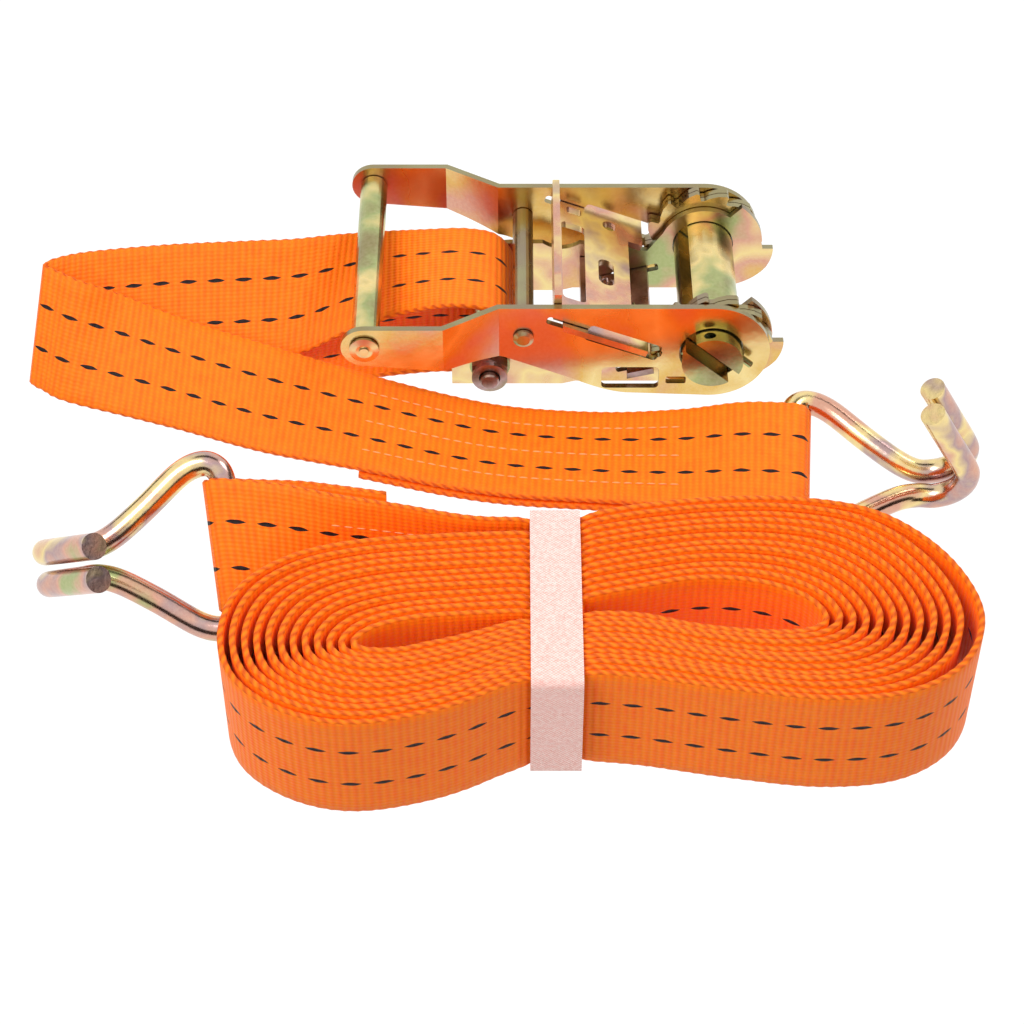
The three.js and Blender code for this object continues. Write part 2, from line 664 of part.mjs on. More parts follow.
const FIXED_STRAP = [
  [[-112, 40, 1], [-109, 78, 1]],
  [[-94, 45, 1], [-91.5, 83, 1]],
  [[-70, 52, 1], [-68, 90, 1]],
  [[-48, 58, 1], [-47, 96, 1]],
  flat(-25, 1.2),
  flat(-9, 1.2),
  flat(-1.4, 5.8),
  flat(0.6, 15),
  flat(-4.8, 25.2),
  [[-16.2, 60.6, 29], [-14.2, 98.6, 28.8]],
  [[-26, 62.5, 26.5], [-26.4, 100.5, 27]],
  [[-38, 66.5, 19.6], [-38.6, 104, 23.4]],
  [[-53.5, 66.5, 13], [-51, 101.5, 24]],
  [[-69, 63, 7.6], [-66.5, 91.6, 30]],
  [[-84.5, 62, 6], [-83.2, 88.4, 32]],
  [[-108, 62, 4], [-108, 88.4, 31]],
  [[-131, 60.5, 2.5], [-131, 86, 30.6]],
  [[-146, 59, 1.4], [-142.5, 83.5, 30.4]],
  [[-152.4, 55.6, 1.2], [-147.4, 80.6, 30]],
  ...FRONT_RUN,
  ...roundBar(HOOK_FIXED, -90, 90, 5),
  [[68, -6.4, 1.6], [70, 30.4, 7.4]],
  [[50.2, -3.6, 2.6], [52.4, 34, 5.4]],
  ...SECOND_LAYER,
];
add('fixed_strap', ribbon(FIXED_STRAP), webbing());

// ---------------------------------------------------------------- long strap, coiled

// The outside of the coil from above, anticlockwise from its right end: two lobes and a waist.
const COIL_OUTER = [
  [126.5, -73], [119, -52], [103, -36], [82, -30.5], [58, -30.5], [32, -34], [8, -40.5], [-18, -42.4],
  [-44, -45], [-64, -51.5], [-77.5, -64], [-81.5, -82], [-76, -99], [-61, -110.5], [-42, -114.3],
  [-18, -109], [6, -98], [30, -97.5], [58, -102.3], [84, -105.5], [106, -102.5], [121, -91],
];
const HOLLOW_RIGHT = [[80, -74], [72, -68.5], [52, -64.5], [34, -68], [30, -71.5], [44, -75], [60, -77.4], [74, -77.6]];
const HOLLOW_LEFT = [[-6, -75.5], [-20, -76.5], [-34, -80.5], [-38, -84], [-30, -85.4], [-16, -81]];

function loopShape(points, count) {
  const curve = new THREE.CatmullRomCurve3(points.map(([x, y]) => new THREE.Vector3(x, y, 0)), true);
  return curve.getPoints(count).slice(0, -1).map((p) => new THREE.Vector2(p.x, p.y));
}

// The band presses the turns in a little where it passes over and under them.
const coilShape = new THREE.Shape(loopShape(COIL_OUTER, 66));
coilShape.holes.push(new THREE.Path(loopShape(HOLLOW_RIGHT, 24)), new THREE.Path(loopShape(HOLLOW_LEFT, 20)));
const bandReach = BAND.width / 2 + GAP;
const pressed = polygon([
  [BAND.x - bandReach, -130],
  [BAND.x + bandReach, -130],
  [BAND.x + bandReach, 0],
  [BAND.x - bandReach, 0],
]);
add('long_strap_coil', toGeometry(cut(
  slabXY(coilShape, 0.05, COIL_HEIGHT),
  slabXY(pressed, -1, BAND.low + GAP),
  slabXY(pressed, BAND.high - GAP, COIL_HEIGHT + 1),
)), webbing());

// The end that leaves the coil at the back, tilts, goes round its hook's bar and comes back.
const LONG_TAIL = [
  [[3, -39.4, 0.3], [3, -39.1, 38.3]],
  [[-12, -40, 0.3], [-12, -38.4, 38.2]],
  [[-32, -40, 0.6], [-32, -33.6, 38]],
  [[-52, -43.2, 3], [-51.5, -29.6, 38.2]],
  [[-66, -48.4, 8], [-68, -24.6, 37.8]],
  ...roundBar(HOOK_LONG, 270, 90, 5),
  [[-66, -42.2, 2.8], [-68, -17.6, 31.6]],
  [[-52, -38.4, 1.4], [-51.5, -24.4, 36.4]],
  [[-36, -36.4, 1], [-35.6, -29, 38]],
];
add('long_strap_tail', ribbon(LONG_TAIL), webbing());

// The elastic band: a flat loop round the coil's waist.
function bandGeometry() {
  const { front, back, low, high, thick, width } = BAND;
  const outline = (grow) => roundedBox(front - grow, low - grow, back + grow, high + grow, 1.2 + grow);
  const ring = outline(thick);
  ring.holes.push(new THREE.Path(outline(0).getPoints(5)));
  const geometry = new THREE.ExtrudeGeometry(ring, { depth: width, bevelEnabled: false, curveSegments: 5 });
  geometry.rotateY(Math.PI / 2);
  geometry.rotateX(Math.PI / 2);
  geometry.translate(BAND.x - width / 2, 0, 0);
  return geometry;
}
add('tie_band', bandGeometry(), elastic());

// ---------------------------------------------------------------- placing the set

// The origin is under the middle of the whole set, on the surface that it lies on.
const extent = new THREE.Box3().setFromObject(set);
const centre = extent.getCenter(new THREE.Vector3());
set.position.set(-centre.x, -centre.y, -extent.min.z);

export default set;
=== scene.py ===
# The look of a ratchet tie-down set: yellow zinc-plated steel, orange polyester webbing, a knitted band.
import math

import bpy
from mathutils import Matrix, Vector


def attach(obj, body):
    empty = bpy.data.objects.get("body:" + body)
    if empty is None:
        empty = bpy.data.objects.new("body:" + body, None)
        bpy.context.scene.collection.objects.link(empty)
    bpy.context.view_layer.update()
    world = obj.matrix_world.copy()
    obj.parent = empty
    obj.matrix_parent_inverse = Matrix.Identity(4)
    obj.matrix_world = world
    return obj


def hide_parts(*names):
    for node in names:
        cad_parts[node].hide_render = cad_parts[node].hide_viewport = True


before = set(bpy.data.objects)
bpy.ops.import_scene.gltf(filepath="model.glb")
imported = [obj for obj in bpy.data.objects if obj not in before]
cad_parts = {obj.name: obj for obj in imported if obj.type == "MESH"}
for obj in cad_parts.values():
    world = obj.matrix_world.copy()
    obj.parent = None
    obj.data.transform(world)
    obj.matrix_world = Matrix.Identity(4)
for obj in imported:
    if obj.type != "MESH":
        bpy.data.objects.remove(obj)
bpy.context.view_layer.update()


# ---------------------------------------------------------------- driving dimensions, in metres

MM = 0.001
# Where the layout's own origin lies in the shared frame; places below are in the layout's millimetres.
LAYOUT_ORIGIN = Vector((0.0067932, -0.004275, 0.0000747))
CAMERA_PLACE = Vector((0.0, -0.5140, 0.5323))
CAMERA_TILT = 46.0
CAMERA_LENS = 86.13

WEB_WIDTH = 0.038
WEB_THICK = 0.0017
TRACERS = (0.325, 0.675)
DASH_PERIOD = 0.0087
DASH_LENGTH = 0.0058
COIL_TURNS = 12
BAND_PLACE = 12.0
BAND_REACH = 8.0
BAND_PRESS = 0.075
LOOP = 5.1
MID_Y = 80.5
HALF_WEB = 19.0
RIB_PITCH = 0.0021
STRAND_PITCH = 0.0034
SCALLOP = 0.008
CURVE_STEPS = 12
FIXED_STEP = 0.0008
LONG_STEP = 0.0012
COIL_LOW = 0.1
COIL_HIGH = 38.1


def place(x, y, z):
    """A point of the layout, in millimetres, as a point of the shared frame, in metres."""
    return LAYOUT_ORIGIN + Vector((x, y, z)) * MM


# ---------------------------------------------------------------- camera

camera_data = bpy.data.cameras.new("camera")
camera_data.lens = CAMERA_LENS
camera_data.sensor_width = 36.0
camera = bpy.data.objects.new("camera", camera_data)
camera.location = CAMERA_PLACE + LAYOUT_ORIGIN
camera.rotation_euler = (math.radians(90.0 - CAMERA_TILT), 0.0, 0.0)
bpy.context.scene.collection.objects.link(camera)
bpy.context.scene.camera = camera

# ---------------------------------------------------------------- shader helpers


class Nodes:
    """Short names for building one material's node tree."""

    def __init__(self, name):
        self.material = bpy.data.materials.new(name)
        self.material.use_nodes = True
        self.tree = self.material.node_tree
        self.shader = self.tree.nodes["Principled BSDF"]

    def new(self, kind, **settings):
        node = self.tree.nodes.new(kind)
        for key, value in settings.items():
            setattr(node, key, value)
        return node

    def link(self, source, target):
        self.tree.links.new(source, target)

    def feed(self, socket, value):
        if isinstance(value, (int, float, tuple)):
            socket.default_value = value
        else:
            self.link(value, socket)

    def math(self, operation, a, b=0.0, clamp=False):
        node = self.new("ShaderNodeMath", operation=operation, use_clamp=clamp)
        self.feed(node.inputs[0], a)
        self.feed(node.inputs[1], b)
        return node.outputs[0]

    def mix(self, factor, a, b):
        node = self.new("ShaderNodeMix", data_type="RGBA")
        self.feed(node.inputs[0], factor)
        self.feed(node.inputs[6], a)
        self.feed(node.inputs[7], b)
        return node.outputs[2]

    def noise(self, scale, detail=3.0, vector=None):
        node = self.new("ShaderNodeTexNoise")
        node.inputs["Scale"].default_value = scale
        node.inputs["Detail"].default_value = detail
        if vector is not None:
            self.link(vector, node.inputs["Vector"])
        return node.outputs["Fac"]

    def ramp(self, factor, stops):
        node = self.new("ShaderNodeValToRGB")
        elements = node.color_ramp.elements
        while len(elements) < len(stops):
            elements.new(0.5)
        for element, (position, colour) in zip(elements, stops):
            element.position = position
            element.color = colour
        self.link(factor, node.inputs[0])
        return node.outputs[0]

    def bump(self, height, strength, distance):
        node = self.new("ShaderNodeBump")
        node.inputs["Strength"].default_value = strength
        node.inputs["Distance"].default_value = distance
        self.link(height, node.inputs["Height"])
        self.link(node.outputs[0], self.shader.inputs["Normal"])


# ---------------------------------------------------------------- metal

GOLD = (0.72, 0.43, 0.08, 1.0)
PALE_GOLD = (0.86, 0.66, 0.26, 1.0)
PINK = (0.66, 0.31, 0.22, 1.0)
GREEN = (0.34, 0.40, 0.14, 1.0)
OLIVE = (0.24, 0.20, 0.07, 1.0)
MAUVE = (0.40, 0.25, 0.27, 1.0)
BROWN = (0.15, 0.05, 0.03, 1.0)
EDGE = (0.20, 0.22, 0.15, 1.0)


def zinc(name, colours, roughness=0.24, patch=28.0, edges=False):
    """Chromated zinc: a metal whose thin film drifts between a few hues over the piece."""
    nodes = Nodes(name)
    where = nodes.new("ShaderNodeTexCoord").outputs["Object"]
    drift = nodes.noise(patch, 3.0, where)
    first, last = 0.34, 0.66
    step = (last - first) / (len(colours) - 1)
    colour = nodes.ramp(drift, [(first + step * k, c) for k, c in enumerate(colours)])
    speckle = nodes.noise(900.0, 2.0, where)
    colour = nodes.mix(nodes.math("MULTIPLY", speckle, 0.25), colour, (0.95, 0.85, 0.62, 1.0))
    if edges:
        normal = nodes.new("ShaderNodeSeparateXYZ")
        nodes.link(nodes.new("ShaderNodeTexCoord").outputs["Normal"], normal.inputs[0])
        side = nodes.math("ABSOLUTE", normal.outputs[1])
        rim = nodes.math("LESS_THAN", side, 0.45)
        colour = nodes.mix(nodes.math("MULTIPLY", rim, 0.75), colour, EDGE)
    nodes.link(colour, nodes.shader.inputs["Base Color"])
    nodes.shader.inputs["Metallic"].default_value = 1.0
    rough = nodes.math("ADD", nodes.math("MULTIPLY", drift, 0.18), roughness - 0.09)
    nodes.link(rough, nodes.shader.inputs["Roughness"])
    nodes.bump(nodes.noise(420.0, 3.0, where), 0.12, 0.0004)
    return nodes.material


plate_gold = zinc("plate_gold", [PINK, GOLD, PALE_GOLD, GOLD, PINK], 0.26, 24.0, edges=True)
plate_pink = zinc("plate_pink", [GOLD, PINK, PALE_GOLD, PINK, GREEN], 0.28, 30.0, edges=True)
pin_green = zinc("pin_green", [OLIVE, GREEN, PALE_GOLD, OLIVE], 0.26, 40.0)
pin_dark = zinc("pin_dark", [BROWN, MAUVE, OLIVE, BROWN], 0.34, 60.0)
latch_mauve = zinc("latch_mauve", [MAUVE, PINK, PALE_GOLD, MAUVE], 0.28, 45.0)
pawl_brown = zinc("pawl_brown", [BROWN, MAUVE, BROWN], 0.3, 50.0)
hook_wire = zinc("hook_wire", [PINK, PALE_GOLD, MAUVE, PINK, GREEN], 0.22, 42.0)

METALS = {
    plate_gold: ["handle_plate_far", "handle_plate_near", "wheel_far_inner", "wheel_far_outer",
                 "wheel_near_inner", "wheel_near_outer"],
    plate_pink: ["frame_plate_far", "frame_plate_near", "cross_pin", "grip_rivet"],
    pin_green: ["grip_tube", "anchor_sleeve", "anchor_washer_near", "anchor_washer_far",
                "drum_half_upper", "drum_half_lower", "split_pin_near", "split_pin_far"],
    pin_dark: ["anchor_bolt", "anchor_nut", "latch_spring", "pawl_spring"],
    latch_mauve: ["handle_latch"],
    pawl_brown: ["lock_pawl"],
}


def dress(name, material):
    """Give a CAD node one material in place of what it came with."""
    mesh = bpy.data.objects[name].data
    mesh.materials.clear()
    mesh.materials.append(material)


for metal, names in METALS.items():
    for name in names:
        dress(name, metal)

# ---------------------------------------------------------------- webbing

ORANGE = (1.0, 0.185, 0.0, 1.0)
BRIGHT = (1.0, 0.27, 0.002, 1.0)
DEEP = (1.0, 0.10, 0.0, 1.0)
SHADE = (0.55, 0.03, 0.0, 1.0)
BLACK = (0.012, 0.006, 0.006, 1.0)


def webbing_material():
    """Woven webbing. U runs 0 to 1 across a face and 2 to 3 on a selvage; V is metres of length."""
    nodes = Nodes("orange_webbing")
    uv = nodes.new("ShaderNodeUVMap", uv_map="weave").outputs[0]
    split = nodes.new("ShaderNodeSeparateXYZ")
    nodes.link(uv, split.inputs[0])
    across, along = split.outputs[0], split.outputs[1]

    rib_phase = nodes.math("MULTIPLY", along, 2.0 * math.pi / RIB_PITCH)
    rib = nodes.math("ADD", nodes.math("MULTIPLY", nodes.math("SINE", rib_phase), 0.5), 0.5)
    warp_phase = nodes.math("MULTIPLY", across, 2.0 * math.pi * 30.0)
    warp = nodes.math("ADD", nodes.math("MULTIPLY", nodes.math("SINE", warp_phase), 0.5), 0.5)
    pick = nodes.math("MULTIPLY", rib, warp)

    stretch = nodes.new("ShaderNodeMapping")
    stretch.inputs["Scale"].default_value = (9.0, 260.0, 1.0)
    nodes.link(uv, stretch.inputs["Vector"])
    streak = nodes.noise(1.0, 4.0, stretch.outputs[0])
    face = nodes.mix(rib, DEEP, ORANGE)
    face = nodes.mix(nodes.math("MULTIPLY", streak, 0.85), face, BRIGHT)
    face = nodes.mix(nodes.math("MULTIPLY", nodes.math("SUBTRACT", 1.0, pick), 0.16), face, DEEP)

    part = nodes.math("FRACT", nodes.math("DIVIDE", along, DASH_PERIOD))
    centred = nodes.math("SUBTRACT", nodes.math("MULTIPLY", part, DASH_PERIOD / (DASH_LENGTH / 2.0)), 1.0)
    lens = nodes.math("SUBTRACT", 1.0, nodes.math("MULTIPLY", centred, centred))
    half_width = nodes.math("MULTIPLY", lens, 0.017)
    dashes = None
    for tracer in TRACERS:
        distance = nodes.math("ABSOLUTE", nodes.math("SUBTRACT", across, tracer))
        inside = nodes.math("LESS_THAN", distance, half_width)
        dashes = inside if dashes is None else nodes.math("MAXIMUM", dashes, inside)
    face = nodes.mix(dashes, face, BLACK)

    # On the selvages, U counts from 0 at one face to 1 at the other, offset by 2.
    edge_across = nodes.math("SUBTRACT", across, 2.0)
    twist = nodes.math("ADD", nodes.math("MULTIPLY", along, 2.0 * math.pi / STRAND_PITCH),
                       nodes.math("MULTIPLY", edge_across, 4.2))
    strand = nodes.math("ADD", nodes.math("MULTIPLY", nodes.math("SINE", twist), 0.5), 0.5)
    lump = nodes.noise(1.0, 3.0, stretch.outputs[0])
    selvage = nodes.mix(strand, SHADE, ORANGE)
    selvage = nodes.mix(nodes.math("MULTIPLY", lump, 0.5), selvage, BRIGHT)
    on_edge = nodes.math("GREATER_THAN", across, 1.5)
    nodes.link(nodes.mix(on_edge, face, selvage), nodes.shader.inputs["Base Color"])

    grain = nodes.math("ADD", nodes.math("MULTIPLY", rib, 0.7), nodes.math("MULTIPLY", warp, 0.3))
    height = nodes.new("ShaderNodeMix", data_type="FLOAT")
    nodes.link(on_edge, height.inputs[0])
    nodes.link(grain, height.inputs[2])
    nodes.link(strand, height.inputs[3])
    nodes.bump(height.outputs[0], 0.55, 0.0005)
    nodes.shader.inputs["Roughness"].default_value = 0.6
    nodes.shader.inputs["Specular IOR Level"].default_value = 0.25
    nodes.shader.inputs["Sheen Weight"].default_value = 0.05
    nodes.shader.inputs["Sheen Roughness"].default_value = 0.4
    return nodes.material


webbing = webbing_material()


def spline(points, per_span):
    """A smooth line through points, with the same number of steps in each span."""
    ends = [points[0] * 2.0 - points[1], *points, points[-1] * 2.0 - points[-2]]
    line = []
    for k in range(len(points) - 1):
        a, b, c, d = ends[k:k + 4]
        for i in range(per_span):
            t = i / per_span
            line.append(0.5 * ((b * 2.0) + (c - a) * t + (a * 2.0 - b * 5.0 + c * 4.0 - d) * t * t
                               + (b * 3.0 - a - c * 3.0 + d) * t * t * t))
    line.append(points[-1].copy())
    return line


def respaced(first, second, step):
    """Two edge lines, sampled again so that the middle of the strap advances by equal steps."""
    middle = [(a + b) * 0.5 for a, b in zip(first, second)]
    distance = [0.0]
    for a, b in zip(middle, middle[1:]):
        distance.append(distance[-1] + (b - a).length)
    count = max(2, round(distance[-1] / step))
    edges = []
    k = 0
    for i in range(count + 1):
        target = distance[-1] * i / count
        while k < len(distance) - 2 and distance[k + 1] < target:
            k += 1
        t = (target - distance[k]) / max(distance[k + 1] - distance[k], 1e-9)
        edges.append((first[k].lerp(first[k + 1], t), second[k].lerp(second[k + 1], t)))
    return edges, distance[-1]


COLUMNS = 12
SELVAGE = 3


def section():
    """The strap's outline as (across, thickness) from -1 to 1, with the U value each side of a point."""
    ring = []
    for k in range(COLUMNS + 1):
        across = -0.975 + 1.95 * k / COLUMNS
        ring.append((across, 1.0, (across + 1.0) / 2.0))
    for k in range(1, SELVAGE):
        angle = math.pi * k / SELVAGE
        ring.append((0.975 + 0.025 * math.sin(angle), math.cos(angle), None))
    for k in range(COLUMNS + 1):
        across = 0.975 - 1.95 * k / COLUMNS
        ring.append((across, -1.0, (across + 1.0) / 2.0))
    for k in range(1, SELVAGE):
        angle = math.pi * k / SELVAGE
        ring.append((-0.975 - 0.025 * math.sin(angle), -math.cos(angle), None))
    return ring


def face_u(ring, k):
    """U at both ends of the section's side k: across the face, or 2 to 3 round a selvage."""
    following = (k + 1) % len(ring)
    here, there = ring[k], ring[following]
    if here[2] is not None and there[2] is not None and here[1] == there[1]:
        return here[2], there[2]
    sign = 1.0 if here[0] > 0.0 else -1.0
    return 2.5 - 0.5 * sign * here[1], 2.5 - 0.5 * sign * there[1]


def pressed(point):
    """How much of its width the coil keeps at this place: the band squeezes its edges in."""
    offset = abs((point.x - LAYOUT_ORIGIN.x) / MM - BAND_PLACE) / BAND_REACH
    return 1.0 - BAND_PRESS / (1.0 + offset ** 8)


def ribbon(name, stations, step, thick=WEB_THICK, banded=False):
    """A strap lofted through stations, each with the two edges of the webbing at that place."""
    first = spline([place(*p) for p, _ in stations], CURVE_STEPS)
    second = spline([place(*q) for _, q in stations], CURVE_STEPS)
    edges, length = respaced(first, second, step)
    ring = section()
    count = len(ring)
    vertices = []
    for i, (p, q) in enumerate(edges):
        ahead = edges[min(i + 1, len(edges) - 1)]
        behind = edges[max(i - 1, 0)]
        along = (ahead[0] + ahead[1]) - (behind[0] + behind[1])
        centre = (p + q) * 0.5
        width = (q - p).normalized() * (WEB_WIDTH / 2.0)
        if banded:
            width = width * pressed(centre)
        depth = along.cross(width).normalized() * (thick / 2.0)
        scallop = 1.0 + SCALLOP * math.sin(i * step * 2.0 * math.pi / STRAND_PITCH)
        vertices.extend(centre + width * (a * scallop) + depth * t for a, t, _ in ring)
    faces = []
    uvs = []
    for i in range(len(edges) - 1):
        for k in range(count):
            a = i * count + k
            b = i * count + (k + 1) % count
            faces.append((a, b, b + count, a + count))
            u0, u1 = face_u(ring, k)
            v0, v1 = i * step, (i + 1) * step
            uvs.extend([(u0, v0), (u1, v0), (u1, v1), (u0, v1)])
    last = (len(edges) - 1) * count
    faces.append(tuple(reversed(range(count))))
    uvs.extend([(2.5, 0.0)] * count)
    faces.append(tuple(range(last, last + count)))
    uvs.extend([(2.5, 0.0)] * count)
    mesh = bpy.data.meshes.new(name)
    mesh.from_pydata([tuple(v) for v in vertices], [], faces)
    layer = mesh.uv_layers.new(name="weave")
    for loop, uv in zip(layer.data, uvs):
        loop.uv = uv
    mesh.shade_smooth()
    mesh.materials.append(webbing)
    strap = bpy.data.objects.new(name, mesh)
    bpy.context.scene.collection.objects.link(strap)
    return strap, length


# The middle of each hook's bar, and the directions of its shank and its bar.
HOOK_FIXED = {
    "place": (84.0, 9.7, 10.5),
    "shank": (0.988, -0.05, -0.15),
    "bar": (0.08, 0.976, 0.2),
}
HOOK_LONG = {
    "place": (-80.5, -32.6, 20.7),
    "shank": (-0.991, -0.0935, -0.09),
    "bar": (0.13, -0.705, -0.697),
}


def round_bar(hook, start, stop, count):
    """Stations of webbing going round a hook's bar, between two angles in degrees."""
    n = Vector(hook["bar"]).normalized()
    if n.z < 0.0:
        n.negate()
    side = n.cross(Vector((1.0, 0.0, 0.0))).normalized()
    forward = side.cross(n)
    stations = []
    for k in range(count):
        angle = math.radians(start + (stop - start) * k / (count - 1))
        middle = Vector(hook["place"]) + (forward * math.cos(angle) + side * math.sin(angle)) * LOOP
        stations.append((tuple(middle - n * HALF_WEB), tuple(middle + n * HALF_WEB)))
    return stations


def flat(x, z):
    """A station of the fixed strap inside the buckle, level across its width."""
    return ((x, MID_Y - HALF_WEB, z), (x, MID_Y + HALF_WEB, z))


FRONT_RUN = [
    ((-147.7, 50.9, 1.2), (-141.8, 77.0, 30.0)),
    ((-142.1, 47.2, 1.4), (-134.4, 72.8, 29.4)),
    ((-125.9, 41.2, 2.2), (-121.4, 73.0, 22.3)),
    ((-105.3, 33.4, 3.0), (-103.5, 68.7, 16.8)),
    ((-76.8, 22.6, 3.8), (-74.0, 58.3, 13.5)),
    ((-46.9, 13.8, 4.2), (-44.6, 51.5, 8.5)),
    ((-19.6, 6.1, 4.2), (-16.9, 43.9, 6.0)),
    ((0.3, 2.3, 4.2), (2.5, 40.2, 5.0)),
    ((27.0, -0.6, 4.8), (29.2, 37.3, 5.8)),
    ((50.2, -3.8, 6.6), (52.4, 33.8, 10.4)),
    ((68.0, -7.0, 10.2), (70.4, 29.8, 17.0)),
]
SECOND_LAYER = [
    tuple((x, y - 0.8, z - 2.5) for x, y, z in edges)
    for edges in reversed(FRONT_RUN[5:9])
]
FIXED_STRAP = [
    ((-112.0, 40.0, 1.0), (-109.0, 78.0, 1.0)),
    ((-94.0, 45.0, 1.0), (-91.5, 83.0, 1.0)),
    ((-70.0, 52.0, 1.0), (-68.0, 90.0, 1.0)),
    ((-48.0, 58.0, 1.0), (-47.0, 96.0, 1.0)),
    flat(-25.0, 1.2),
    flat(-9.0, 1.2),
    flat(-1.4, 5.8),
    flat(0.6, 15.0),
    flat(-4.8, 25.2),
    ((-16.2, 60.6, 29.0), (-14.2, 98.6, 28.8)),
    ((-26.0, 62.5, 26.5), (-26.4, 100.5, 27.0)),
    ((-38.0, 66.5, 19.6), (-38.6, 104.0, 23.4)),
    ((-53.5, 66.5, 13.0), (-51.0, 101.5, 24.0)),
    ((-69.0, 63.0, 7.6), (-66.5, 91.6, 30.0)),
    ((-84.5, 62.0, 6.0), (-83.2, 88.4, 32.0)),
    ((-108.0, 62.0, 4.0), (-108.0, 88.4, 31.0)),
    ((-131.0, 60.5, 2.5), (-131.0, 86.0, 30.6)),
    ((-146.0, 59.0, 1.4), (-142.5, 83.5, 30.4)),
    ((-152.4, 55.6, 1.2), (-147.4, 80.6, 30.0)),
    *FRONT_RUN,
    *round_bar(HOOK_FIXED, -90.0, 90.0, 5),
    ((68.0, -6.4, 1.6), (70.0, 30.4, 7.4)),
    ((50.2, -3.6, 2.6), (52.4, 34.0, 5.4)),
    *SECOND_LAYER,
]
fixed_strap, fixed_length = ribbon("fixed_strap_webbing", FIXED_STRAP, FIXED_STEP)
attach(fixed_strap, "frame")
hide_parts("fixed_strap")

# ---------------------------------------------------------------- sewing thread

thread = Nodes("white_thread")
thread.shader.inputs["Base Color"].default_value = (0.90, 0.40, 0.16, 1.0)
thread.shader.inputs["Roughness"].default_value = 0.7
THREAD = 0.22
STITCH = 3.6


def stitches(name, stations, share, lift, body):
    """A line of short stitches along a strap, at a share of its width, standing on its face."""
    first = spline([place(*p) for p, _ in stations], CURVE_STEPS)
    second = spline([place(*q) for _, q in stations], CURVE_STEPS)
    edges, _ = respaced(first, second, STITCH * MM)
    vertices = []
    faces = []
    for (p, q), (p1, q1) in zip(edges, edges[1:]):
        start, end = p.lerp(q, share), p1.lerp(q1, share)
        along = (end - start) * 0.36
        side = (q - p).normalized()
        up = side.cross(along).normalized()
        if up.z < 0.0:
            up.negate()
        middle = (start + end) * 0.5 + up * (lift * MM)
        base = len(vertices)
        for reach, grow in ((-1.0, 0.35), (-0.4, 1.0), (0.4, 1.0), (1.0, 0.35)):
            for k in range(6):
                angle = math.pi * k / 3.0
                offset = side * math.cos(angle) + up * math.sin(angle)
                vertices.append(middle + along * reach + offset * (THREAD * grow * MM))
        for ring in range(3):
            for k in range(6):
                a = base + ring * 6 + k
                b = base + ring * 6 + (k + 1) % 6
                faces.append((a, b, b + 6, a + 6))
        faces.append(tuple(base + k for k in reversed(range(6))))
        faces.append(tuple(base + 18 + k for k in range(6)))
    mesh = bpy.data.meshes.new(name)
    mesh.from_pydata([tuple(v) for v in vertices], [], faces)
    mesh.shade_smooth()
    mesh.materials.append(thread.material)
    row = bpy.data.objects.new(name, mesh)
    bpy.context.scene.collection.objects.link(row)
    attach(row, body)


FACE = WEB_THICK / MM / 2.0
for row, share in enumerate((0.2, 0.5, 0.8)):
    stitches(f"front_stitches_{row}", FRONT_RUN[5:10], share, FACE, "frame")

# ---------------------------------------------------------------- long strap

# Matching points of the coil's outermost and innermost turns from above, anticlockwise from the right.
COIL_POINTS = [
    ((125.6, -73.0), (82.0, -75.5)),
    ((118.4, -52.5), (78.0, -70.0)),
    ((102.6, -36.9), (70.0, -66.3)),
    ((82.0, -31.4), (60.0, -64.2)),
    ((58.0, -31.4), (48.0, -64.3)),
    ((32.0, -34.9), (33.0, -67.8)),
    ((8.0, -41.2), (10.0, -72.6)),
    ((-18.0, -43.4), (-10.0, -74.4)),
    ((-44.0, -46.0), (-24.0, -75.8)),
    ((-63.6, -52.2), (-33.0, -78.2)),
    ((-76.8, -64.4), (-38.5, -81.0)),
    ((-80.6, -82.0), (-41.5, -84.8)),
    ((-75.2, -98.4), (-38.5, -87.2)),
    ((-60.6, -109.6), (-30.0, -87.0)),
    ((-42.0, -113.4), (-22.0, -84.6)),
    ((-18.2, -108.1), (-12.0, -81.5)),
    ((6.0, -97.2), (8.0, -74.9)),
    ((30.0, -96.7), (32.0, -73.6)),
    ((58.0, -101.4), (48.0, -77.2)),
    ((84.0, -104.6), (62.0, -79.2)),
    ((105.6, -101.6), (74.0, -79.6)),
    ((120.2, -90.6), (80.0, -78.3)),
]
# The place on the outermost turn, as a fractional index, where the tail runs into the coil.
JOIN = 5.6


def around(points, position):
    """A point on the closed smooth curve through points, at a fractional index."""
    k = math.floor(position)
    t = position - k
    a, b, c, d = (Vector(points[(k + j) % len(points)]) for j in (-1, 0, 1, 2))
    return 0.5 * ((b * 2.0) + (c - a) * t + (a * 2.0 - b * 5.0 + c * 4.0 - d) * t * t
                  + (b * 3.0 - a - c * 3.0 + d) * t * t * t)


def coil_stations():
    """Upright stations from the tail's join, winding inwards clockwise as seen from above."""
    outer = [p for p, _ in COIL_POINTS]
    inner = [q for _, q in COIL_POINTS]
    count = len(COIL_POINTS)
    per_index = 3
    total = COIL_TURNS * count * per_index
    stations = []
    for i in range(total + 1):
        travelled = i / per_index
        position = (JOIN - travelled) % count
        share = travelled / (COIL_TURNS * count)
        spot = around(outer, position).lerp(around(inner, position), share)
        away = min(1.0, abs(spot.x - BAND_PLACE) / 30.0)
        loose = max(0.0, (spot.x - 60.0) / 60.0) * max(0.0, 1.0 - travelled / count)
        spot = spot + Vector((2.4 * loose, -0.8 * loose))
        lift = 0.3 + away * 0.35 * math.sin(travelled * 0.37)
        stations.append(((spot.x, spot.y, COIL_LOW + lift), (spot.x, spot.y, COIL_HIGH + lift)))
    return stations


